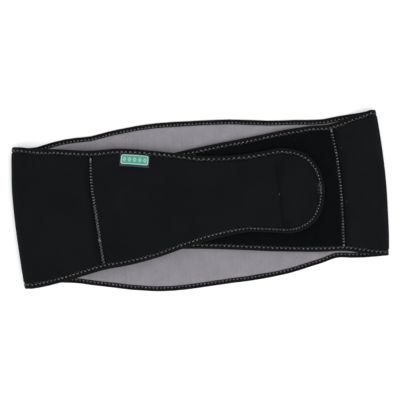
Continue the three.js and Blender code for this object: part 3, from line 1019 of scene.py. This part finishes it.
def sewHookPad():
    at = ribsAt(np.linspace(0, leftTipPlace, hookPad["steps"]))
    reach = hookPad["reach"]
    lip = hookPad["lip"]
    across = np.concatenate([[1.0], np.linspace(1 - lip, lip - 1, hookPad["across"]), [-1.0]]) * reach
    across = np.broadcast_to(across, (hookPad["steps"], len(across)))
    rounded = np.where(np.abs(across) >= reach, hookPad["lipThick"], 1.0)
    centre = -half - belt["seat"] - hookPad["thickness"] / 2
    thick = rounded * hookPad["thickness"] / 2
    skins = [onCloth(at, across, centre + thick), onCloth(at, across, centre - thick)]
    maps = {"cloth": weaveMap(at, onCloth(at, across, centre))}
    addSlab("hook_tape", "hook_pad", skins, maps, [-1], "hook nylon")


sewHookPad()


# The folded tape round the whole edge

tape = {
    "width": 6 * mm,
    "thickness": 0.7 * mm,
    "half": 1.5 * mm,
    "step": 0.9 * mm,
    "press": 0.16 * mm,  # how deep the stitches pull it in
    "pressWidth": 0.8 * mm,
    "wobble": 0.22 * mm,  # how unevenly wide it is sewn
    "joinNear": (150.0 * mm, 14.6 * mm),  # where the tape's two ends lap
    "joinLength": 13 * mm,
    "joinRise": 0.5 * mm,
    "joinEnd": 1.5 * mm,
    "foldOver": 1.2 * mm,  # what the fold itself takes of the flat tape
}
zigzag = {
    "radius": 0.15 * mm,
    "peaked": 0.7,  # how much thicker the thread looks at the zigzag's outer points
    "uneven": 0.3,  # how much thicker one leg looks than the next, by stretches
    "arch": 0.2 * mm,
    "sunkInner": 0.65 * mm,
    "sunkOuter": 0.12 * mm,
    "jitter": 0.14 * mm,
    "lapAt": 1 * mm,  # the second row of stitches, over the lap
    "lapLength": 12.5 * mm,
    "lapCount": 6,
    "lapInsets": (8.8 * mm, 2.2 * mm),
    "lapRadius": 0.075 * mm,
    "lapPeak": 0.3,
    # the row drifts as the tape is fed round: the way from the left tip by the upper edge, then
    # the stitch's length, the row's inset and its swing there, all in millimetres
    "wayRound": [0, 45, 105, 135, 205, 242, 278, 315, 411, 459, 749, 870, 1015, 1329, 1498, 1595,
                 1668, 1958, 2054, 2122, 2182, 2242, 2302, 2332, 2362, 2392, 2417],
    "lengths": [4.4, 5.0, 5.8, 6.0, 6.0, 5.8, 5.2, 5.0, 4.7, 4.35, 4.35, 4.7, 5.1, 5.3, 5.2, 4.7,
                4.4, 4.4, 4.6, 4.95, 4.95, 4.9, 4.5, 4.2, 4.0, 4.1, 4.2],
    "insets": [4.4, 4.9, 5.0, 4.4, 5.1, 4.7, 5.3, 5.8, 5.2, 5.0, 5.0, 5.2, 5.7, 5.4, 5.1, 5.0,
               5.0, 5.1, 5.8, 6.1, 5.1, 6.0, 4.8, 4.4, 5.2, 5.7, 4.4],
    "swings": [1.2, 1.3, 1.5, 1.65, 1.9, 1.95, 1.8, 1.7, 1.6, 1.55, 1.55, 1.6, 1.6, 1.6, 1.6, 1.6,
               1.6, 1.6, 1.6, 1.65, 1.6, 1.5, 1.45, 1.4, 1.3, 1.25, 1.25],
    "gapsFrom": (2270, 2310),  # where the thread sinks deeper between its outer points
    "gapsThin": 0.45,
    "gapsSink": 0.35 * mm,
    "taper": 1.6,  # how soon a thread thins from its outer point inward
    "offTape": 0.25 * mm,  # how much lower it lies past the tape
}

rimPoints = np.concatenate([ribs["top"], ribs["bottom"][-2::-1]])
rimPlaces = np.concatenate([ribs["place"], ribs["place"][-2::-1]])
rimLengths = lengthsAlong(rimPoints)
rimLength = rimLengths[-1]
halfway = rimLengths[len(ribs["place"]) - 1]
zigWays = np.linspace(0, rimLength, 2401)
zigTurns = np.cumsum(np.diff(zigWays, prepend=0)
                     / np.interp(zigWays / mm, zigzag["wayRound"], zigzag["lengths"]) / mm)
zigCount = int(round(zigTurns[-1]))
zigTurns *= zigCount / zigTurns[-1]
joinAt = rimLengths[np.argmin(np.linalg.norm(rimPoints[:, :2] - tape["joinNear"], axis=1))]


def onRim(along, inset, offset):
    # Points by their way round the rim, distance in from it and offset out of the loop
    along = along % rimLength
    at = ribsAt(np.interp(along, rimLengths, rimPlaces))
    side = np.where(along < halfway, 1.0, -1.0)[:, None]
    pace = np.where(side > 0, at["topInset"][:, None], at["bottomInset"][:, None])
    return onCloth(at, side * (1 - inset * pace), offset), at["normal"]


def zigAt(name, along):
    # One of the zigzag's tables at this way round the rim
    return np.interp(along % rimLength / mm, zigzag["wayRound"], zigzag[name]) * mm


def zigInset(along):
    wave = 4 * np.abs(np.interp(along, zigWays, zigTurns) % 1 - 0.5) - 1
    return zigAt("insets", along) + zigAt("swings", along) * wave


def wander(along, seed):
    # From about -1 to 1 round the rim, without a step where it closes
    wave = np.random.default_rng(seed)
    total = np.zeros(along.shape)
    for _ in range(6):
        turns = wave.integers(14, 90)
        total += np.sin(2 * math.pi * turns * along / rimLength + wave.uniform(0, 2 * math.pi))
    return total / 3


def lapRise(along):
    # 1 where the tape's ends lie on each other
    away = np.abs((along - joinAt + rimLength / 2) % rimLength - rimLength / 2)
    return ease((tape["joinLength"] / 2 - away) / tape["joinEnd"])


def tapeProfile():
    # Inset and offset round the tape's section, outer faces first
    thick, wall, width = tape["half"], tape["thickness"], tape["width"]
    upper = [(width, thick - 0.3 * wall)]
    upper += [(inset, thick) for inset in np.linspace(width - 0.2 * mm, thick, 10)]
    turns = np.radians(np.arange(72, -73, -24))
    rim = [(thick * (1 - math.cos(turn)), thick * math.sin(turn)) for turn in turns]
    lower = [(inset, -offset) for inset, offset in upper[::-1]]
    gap = thick - wall
    inside = [(width, -gap), (thick, -gap), (1.2 * wall, 0), (thick, gap), (width, gap)]
    return np.array(upper + rim + lower), np.array(inside)


def foldTape():
    outside, inside = tapeProfile()
    count = int(round(rimLength / tape["step"]))
    along = np.arange(count) / count * rimLength
    stretchOut = 1 + tape["wobble"] / tape["width"] * wander(along, 31)[:, None]
    inset = outside[:, 0] * np.where(outside[:, 0] > tape["half"], stretchOut, 1.0)
    gap = np.abs(inset - zigInset(along)[:, None]) / tape["pressWidth"]
    squeeze = tape["press"] * np.exp(-gap ** 2)
    rise = lapRise(along)[:, None] * tape["joinRise"]
    thick = np.abs(outside[:, 1]) / tape["half"]
    offset = outside[:, 1] + np.sign(outside[:, 1]) * (rise - squeeze) * thick
    inset = inset - rise * (1 - thick)
    insetAll = np.concatenate([inset, np.broadcast_to(inside[:, 0], (count, len(inside)))], 1)
    offsetAll = np.concatenate([offset, np.broadcast_to(inside[:, 1], (count, len(inside)))], 1)
    points, _ = onRim(along, insetAll, offsetAll)
    girth = lengthsAlong(outside)
    girth = np.concatenate([girth, girth[-1] + inside[:, 0]])
    maps = {"cloth": pairUp(along[:, None], girth)}
    piece = addPiece("edge_tape", layFlat(points), [gridFaces(*points.shape[:2], closedRows=True)],
                     "ribbed tape", maps)
    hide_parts("edge_binding")


foldTape()


# Stitches: short arched threads with their ends sunk into the cloth

def sewThreads(name, lines, normals, radii, finish="grey thread", slot="tape"):
    # lines holds stitches x points x 3; each stitch becomes one closed thread of five sides
    lines[..., 2] = np.maximum(lines[..., 2], radii)
    sides = 5
    ahead = unit(np.gradient(lines, axis=1))
    sideways = unit(np.cross(ahead, normals))
    upward = np.cross(sideways, ahead)
    turn = np.arange(sides) / sides * 2 * math.pi
    around = (np.cos(turn)[:, None] * sideways[:, :, None]
              + np.sin(turn)[:, None] * upward[:, :, None])
    rings = lines[:, :, None] + around * radii[..., None, None]
    count, steps = lines.shape[:2]
    starts = np.arange(count)[:, None, None] * steps * sides
    tubes = (gridFaces(steps, sides)[None] + starts).reshape(-1, 4)
    endA = (np.arange(sides)[::-1][None] + starts[:, 0]).reshape(-1, sides)
    endB = (np.arange(sides)[None] + (steps - 1) * sides + starts[:, 0]).reshape(-1, sides)
    moves = np.linalg.norm(np.diff(lines, axis=1), axis=2)
    run = np.concatenate([np.zeros((count, 1)), np.cumsum(moves, axis=1)], 1)
    girth = turn / (2 * math.pi) * threadLook["girth"]
    maps = {"cloth": pairUp(run[:, :, None], girth)}
    addPiece(name, rings, [tubes, endA, endB], finish, maps, sharp=80)
    print(name, count, "threads")


stitchSteps = np.linspace(0, 1, 6)
archShape = np.sin(stitchSteps * math.pi)


def rimLegs(alongs, insets, face, radius, peak=None):
    # Threads from each point of a zigzag to the next, on one face of the tape
    along = alongs[:-1, None] + np.diff(alongs)[:, None] * stitchSteps
    inset = insets[:-1, None] + np.diff(insets)[:, None] * stitchSteps
    ground = tape["half"] + lapRise(along) * tape["joinRise"]
    ground = np.where(inset > tape["width"], ground - zigzag["offTape"], ground)
    inward = np.clip((inset - zigAt("insets", along)) / (2 * zigAt("swings", along)) + 0.5, 0, 1)
    if peak is not None:
        inward = np.full(along.shape, peak)
    start, whole = zigzag["gapsFrom"]
    gaps = ease((along % rimLength / mm - start) / (whole - start))
    sunkInner = zigzag["sunkInner"] + zigzag["gapsSink"] * gaps
    deep = zigzag["sunkOuter"] + (sunkInner - zigzag["sunkOuter"]) * inward
    lift = ground - deep * (1 - archShape) + zigzag["arch"] * archShape
    points, normal = onRim(along.ravel(), inset.reshape(-1, 1), face * lift.reshape(-1, 1))
    normals = normal.reshape(along.shape + (3,)) * face
    leg = 1 + zigzag["uneven"] * np.where(np.diff(insets) > 0, 1, -1) * wander(alongs[:-1], 34)
    thinned = ease(zigzag["taper"] * inward)
    thick = 1 + zigzag["peaked"] * (1 - 2 * thinned)
    radii = radius * leg[:, None] * thick * (1 - zigzag["gapsThin"] * gaps * thinned)
    return points.reshape(along.shape + (3,)), normals, radii


def sewEdge():
    corners = np.interp(np.arange(2 * zigCount + 1) / 2, zigTurns, zigWays)
    wave = np.where(np.arange(2 * zigCount + 1) % 2 == 0, 1.0, -1.0)
    alongs = corners + dice.normal(0, zigzag["jitter"], len(corners))
    alongs[-1] = alongs[0] + rimLength
    insets = (zigAt("insets", corners) + wave * zigAt("swings", corners)
              + dice.normal(0, zigzag["jitter"], len(corners)))
    insets[-1] = insets[0]
    count = zigzag["lapCount"] + 1
    lapAlongs = joinAt + zigzag["lapAt"] + np.linspace(-0.5, 0.5, count) * zigzag["lapLength"]
    lapInsets = np.array(zigzag["lapInsets"])[np.arange(count) % 2]
    lapLook = zigzag["lapRadius"], zigzag["lapPeak"]
    rows = [rimLegs(alongs, insets, face, zigzag["radius"]) for face in (1, -1)]
    rows += [rimLegs(lapAlongs, lapInsets, face, *lapLook) for face in (1, -1)]
    sewThreads("edge_stitches", *(np.concatenate(part) for part in zip(*rows)))


sewEdge()

seamStitch = {
    "period": 3.58 * mm,
    "barFrom": -0.65 * mm,  # from the row's middle, onto the side panel if above zero
    "barTo": 1.75 * mm,
    "spread": 0.24 * mm,  # each bar is three threads side by side
    "barRadius": 0.18 * mm,
    "linkFrom": -0.5 * mm,
    "linkReach": -1.6 * mm,
    "linkRadius": 0.04 * mm,
    "evenReach": 1.35 * mm,  # where the row is a plain zigzag
    "evenRadius": 0.10 * mm,
    "cornerSwell": 1.3,
    "arch": 0.22 * mm,
    "sunk": 0.3 * mm,
    "jitter": 0.12 * mm,
    "tackLength": 3.0 * mm,
    "tackThreads": 7,
    "tackLean": 0.4 * mm,
    "thickRange": (0.72, 1.15),  # how much the bars differ
    "asideRange": (0.5, 1.3),
    "evenAside": 0.2,  # what is left of the spread in the plain zigzag
    "evenLink": 1.25,  # how thick one of its legs is, and what is left of the other
    "evenBack": 0.2,
    "evenSunk": 0.6,  # how much less deep its ends are sunk
    "endThick": 0.7,
}
seamRuns = {
    # start, tacks and "even" (where the row begins to be a plain zigzag, and is one) are down from
    # the upper edge, below zero up from the lower one; drift is how far down, and how far sideways
    "left": {"start": 13.9 * mm, "end": 6.2 * mm, "even": (45 * mm, 75 * mm),
             "tacks": [9.6 * mm, 106 * mm],
             "drift": [(0, -0.9), (37, -1.2), (55, -1.5), (78, -1.6), (100, -1.0), (115, -0.2),
                       (130, 0.4), (170, 0.5)]},
    "right": {"start": 9.4 * mm, "end": 8.5 * mm, "even": (1.0, 2.0), "tacks": [5.4 * mm, -8.4 * mm],
              "drift": [(0, -1.3), (170, -1.3)]},
}


def onSeam(place, sideward, slip, down, face, lift):
    # slip is the distance from the seam onto the side panel, down the distance from the upper edge
    at = ribsAt(place + sideward * slip)
    upper = np.linalg.norm(at["top"] - at["middle"], axis=1)
    lower = np.linalg.norm(at["bottom"] - at["middle"], axis=1)
    across = np.where(down < upper, 1 - down / upper, -(down - upper) / lower)
    return onCloth(at, across[:, None], (face * lift)[:, None])[:, 0], at["normal"] * face[:, None]


def seamLegs(place, sideward, face, run):
    at = ribsAt(np.array([place]))
    length = float(sum(np.linalg.norm(at[end] - at["middle"]) for end in ("top", "bottom")))
    period, arch = seamStitch["period"], archShape
    count = int((length - run["start"] - run["end"]) / period) + 1
    starts, ends, thick = [], [], []

    def shake():
        return dice.normal(0, seamStitch["jitter"], count)

    def addThreads(down0, slip0, down1, slip1, radius):
        starts.append(np.stack([down0, slip0], 1))
        ends.append(np.stack([down1, slip1], 1))
        thick.append(np.broadcast_to(radius, len(down0)))

    def toEven(value, evenValue):
        return value + even * (evenValue - value)

    middles = run["start"] + np.arange(count) * period + shake()
    even = ease((middles - run["even"][0]) / (run["even"][1] - run["even"][0]))
    reach, evenRadius = seamStitch["evenReach"], seamStitch["evenRadius"]
    barRadius = toEven(seamStitch["barRadius"], evenRadius)
    barRadius = barRadius * dice.uniform(*seamStitch["thickRange"], count)
    linkRadius = toEven(seamStitch["linkRadius"], seamStitch["evenLink"] * evenRadius)
    outer = toEven(seamStitch["linkReach"], -reach) + shake()
    barFrom, barTo = toEven(seamStitch["barFrom"], -reach), toEven(seamStitch["barTo"], reach)
    back = toEven(0, period / 2)
    for thread in (-1, 0, 1):
        aside = thread * seamStitch["spread"] * toEven(1, seamStitch["evenAside"])
        addThreads(middles + aside * dice.uniform(*seamStitch["asideRange"], count) - back,
                   barFrom + shake(),
                   middles + aside * dice.uniform(*seamStitch["asideRange"], count),
                   barTo + shake(), barRadius)
    between = (middles[:-1] + middles[1:]) / 2
    low = toEven(seamStitch["linkFrom"], reach)
    addThreads(middles[:-1], low[:-1], between, outer[:-1], linkRadius[:-1])
    addThreads(between, outer[:-1], middles[1:], low[1:],
               (linkRadius * toEven(1, seamStitch["evenBack"]))[1:])
    plain = np.concatenate([even, even, even, even[:-1], even[1:]])
    for tackAt in run["tacks"]:
        tack = tackAt % length + np.linspace(0, seamStitch["tackLength"], seamStitch["tackThreads"])
        wide = np.ones(len(tack))
        addThreads(tack, seamStitch["barFrom"] * wide, tack + seamStitch["tackLean"],
                   seamStitch["barTo"] * wide, seamStitch["barRadius"])
        plain = np.concatenate([plain, 0 * wide])

    starts, ends, thick = np.concatenate(starts), np.concatenate(ends), np.concatenate(thick)
    down = starts[:, :1] + (ends - starts)[:, :1] * stitchSteps
    slip = starts[:, 1:] + (ends - starts)[:, 1:] * stitchSteps
    ways, drifts = np.transpose(run["drift"]) * mm
    slip = slip + np.interp(down, ways, drifts)
    inset = np.minimum(down, length - down)
    full = ease((inset - cloth["swellStart"]) / cloth["swellRun"])
    dip = (1 - ease(np.abs(slip) / cloth["seamRun"])) * cloth["seamDip"] * full
    ground = cloth["pinched"] + (half - cloth["pinched"]) * full - dip
    chord = ground[:, :1] + (ground[:, -1:] - ground[:, :1]) * stitchSteps
    sunk = seamStitch["sunk"] * (1 - seamStitch["evenSunk"] * plain)[:, None] * (1 - arch)
    lift = np.maximum(ground, chord) - sunk + seamStitch["arch"] * arch
    faces = np.full(down.size, float(face))
    points, normals = onSeam(place, sideward, slip.ravel(), down.ravel(), faces, lift.ravel())
    swell = seamStitch["cornerSwell"] * plain[:, None] * (1 - arch)
    radii = thick[:, None] * (seamStitch["endThick"] + (1 - seamStitch["endThick"]) * arch + swell)
    return points.reshape(down.shape + (3,)), normals.reshape(down.shape + (3,)), radii


def sewSeams():
    runs = ["left", "left", "right", "right"]
    sides = [1, -1, 1, -1]  # which way along the strip the side panel lies from each seam
    rows = [seamLegs(place, side, face, seamRuns[run])
            for place, side, run in zip(seamPlaces, sides, runs) for face in (1, -1)]
    sewThreads("seam_stitches", *(np.concatenate(part) for part in zip(*rows)))


sewSeams()


# The woven label on the left wing

def sewLabel():
    low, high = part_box("label_tab")
    centreX = (low.x + high.x) / 2 + label["shift"]
    onWing = ribs["place"] < seamPlaces[0]
    centre = np.interp(-centreX, -ribs["top"][onWing, 0], ribs["place"][onWing])
    at = ribsAt(centre + np.linspace(0.5, -0.5, label["steps"]) * label["width"])
    insets = np.linspace(label["tucked"], label["fullInset"] + label["height"], label["across"])
    across = 1 - insets * at["topInset"][:, None]
    lean = label["slant"] * np.clip((insets - label["fullInset"]) / label["height"], 0, 1)
    tucked = 1 - ease((insets - label["tuckRun"][0]) / label["tuckRun"][1])
    curl = label["curl"][0] * ease((insets - insets[-1]) / label["curl"][1] + 1)
    base = half + belt["seat"] - tucked * label["tuckDepth"] + curl
    thick = np.where(tucked > 0.9, label["thinned"], label["thickness"])
    skins = [onCloth(at, across, base + thick), onCloth(at, across, base)]
    for skin in skins:
        skin[..., 0] += lean
    sideways = np.linspace(0, label["width"], label["steps"])[:, None]
    upward = label["fullInset"] + label["height"] - insets
    maps = {"cloth": pairUp(sideways, upward)}
    piece = addSlab("woven_label", "label_tab", skins, maps, [0, -1], "woven label")


sewLabel()


# Lint

def layLint(name, spots, finish, slot, under):
    lines = []
    for x, y in spots:
        above = Vector((x * mm, y * mm, lint["dropFrom"]))
        hits = [pieces[panel].ray_cast(above, Vector((0, 0, -1))) for panel in under]
        height = max(hit[1].z for hit in hits if hit[0]) + lint["radius"] * lint["restsAt"]
        turn = dice.uniform(0, math.pi)
        bend = dice.uniform(-lint["bend"], lint["bend"])
        run = np.linspace(-0.5, 0.5, lint["points"])
        along = run * lint["length"] * dice.uniform(*lint["lengthRange"])
        heading = turn + bend * run
        lines.append(np.stack([x * mm + along * np.cos(heading), y * mm + along * np.sin(heading),
                               np.full(len(run), height)], 1))
    lines = np.array(lines)
    radii = lint["radius"] * (0.5 + 0.5 * archShape) * np.ones(lines.shape[:2])
    sewThreads(name, lines, np.broadcast_to((0, 0, 1.0), lines.shape), radii, finish, slot)


layLint("lint_on_black", lint["black"], "pale lint", "jersey",
        ["wing_left", "wing_right", "side_left", "side_right"])
layLint("lint_dark", lint["liningDark"], "dark lint", "tape", ["lining_back"])
layLint("lint_pale", lint["liningPale"], "white lint", "jersey", ["lining_back"])
print("pieces sewn")


# Floor, light and camera

studio = {
    "floor": 6.0,
    "floorDrop": 0.2 * mm,
    "paper": {
        "Base Color": (0.93, 0.93, 0.93, 1),
        "Emission Color": (1, 1, 1, 1),
        "Emission Strength": 0.2,  # keeps the shadows on it pale
        "Roughness": 0.9,
        "Specular IOR Level": 0.1,
    },
    "sky": 0.85,
    "sunStrength": 1.25,
    "sunSpread": 60,
    "sunTilt": (22, 14),
    "frameWidth": 478.5 * mm,  # what the picture takes in
    "focus": (-0.25 * mm, 0.35 * mm, 9 * mm),
    "lens": 250.0,
    "sensor": 36.0,
}


def layFloor():
    size = studio["floor"]
    mesh = bpy.data.meshes.new("floor")
    corners = [(-size, -size, 0), (size, -size, 0), (size, size, 0), (-size, size, 0)]
    mesh.from_pydata(corners, [], [(0, 1, 2, 3)])
    floor = bpy.data.objects.new("floor", mesh)
    bpy.context.scene.collection.objects.link(floor)
    paper = bpy.data.materials.new("white paper")
    paper.use_nodes = True
    shader = paper.node_tree.nodes["Principled BSDF"]
    for socket, value in studio["paper"].items():
        shader.inputs[socket].default_value = value
    mesh.materials.append(paper)
    floor.location.z = -studio["floorDrop"]


def hangLights():
    world = bpy.data.worlds.new("studio")
    world.use_nodes = True
    sky = world.node_tree.nodes["Background"]
    sky.inputs[0].default_value = (1, 1, 1, 1)
    sky.inputs[1].default_value = studio["sky"]
    bpy.context.scene.world = world
    sun = bpy.data.lights.new("soft sun", "SUN")
    sun.energy = studio["sunStrength"]
    sun.angle = math.radians(studio["sunSpread"])
    lamp = bpy.data.objects.new("soft sun", sun)
    lamp.rotation_euler = [math.radians(turn) for turn in (*studio["sunTilt"], 0)]
    bpy.context.scene.collection.objects.link(lamp)


def setCamera():
    lens = bpy.data.cameras.new("camera")
    lens.lens = studio["lens"]
    lens.sensor_width = studio["sensor"]
    x, y, z = studio["focus"]
    distance = studio["frameWidth"] * studio["lens"] / studio["sensor"]
    lens.clip_end = 3 * distance
    camera = bpy.data.objects.new("camera", lens)
    camera.location = (x, y, z + distance)
    bpy.context.scene.collection.objects.link(camera)
    bpy.context.scene.camera = camera


layFloor()
hangLights()
setCamera()
bpy.context.scene.view_settings.view_transform = "Standard"
print("stage set")
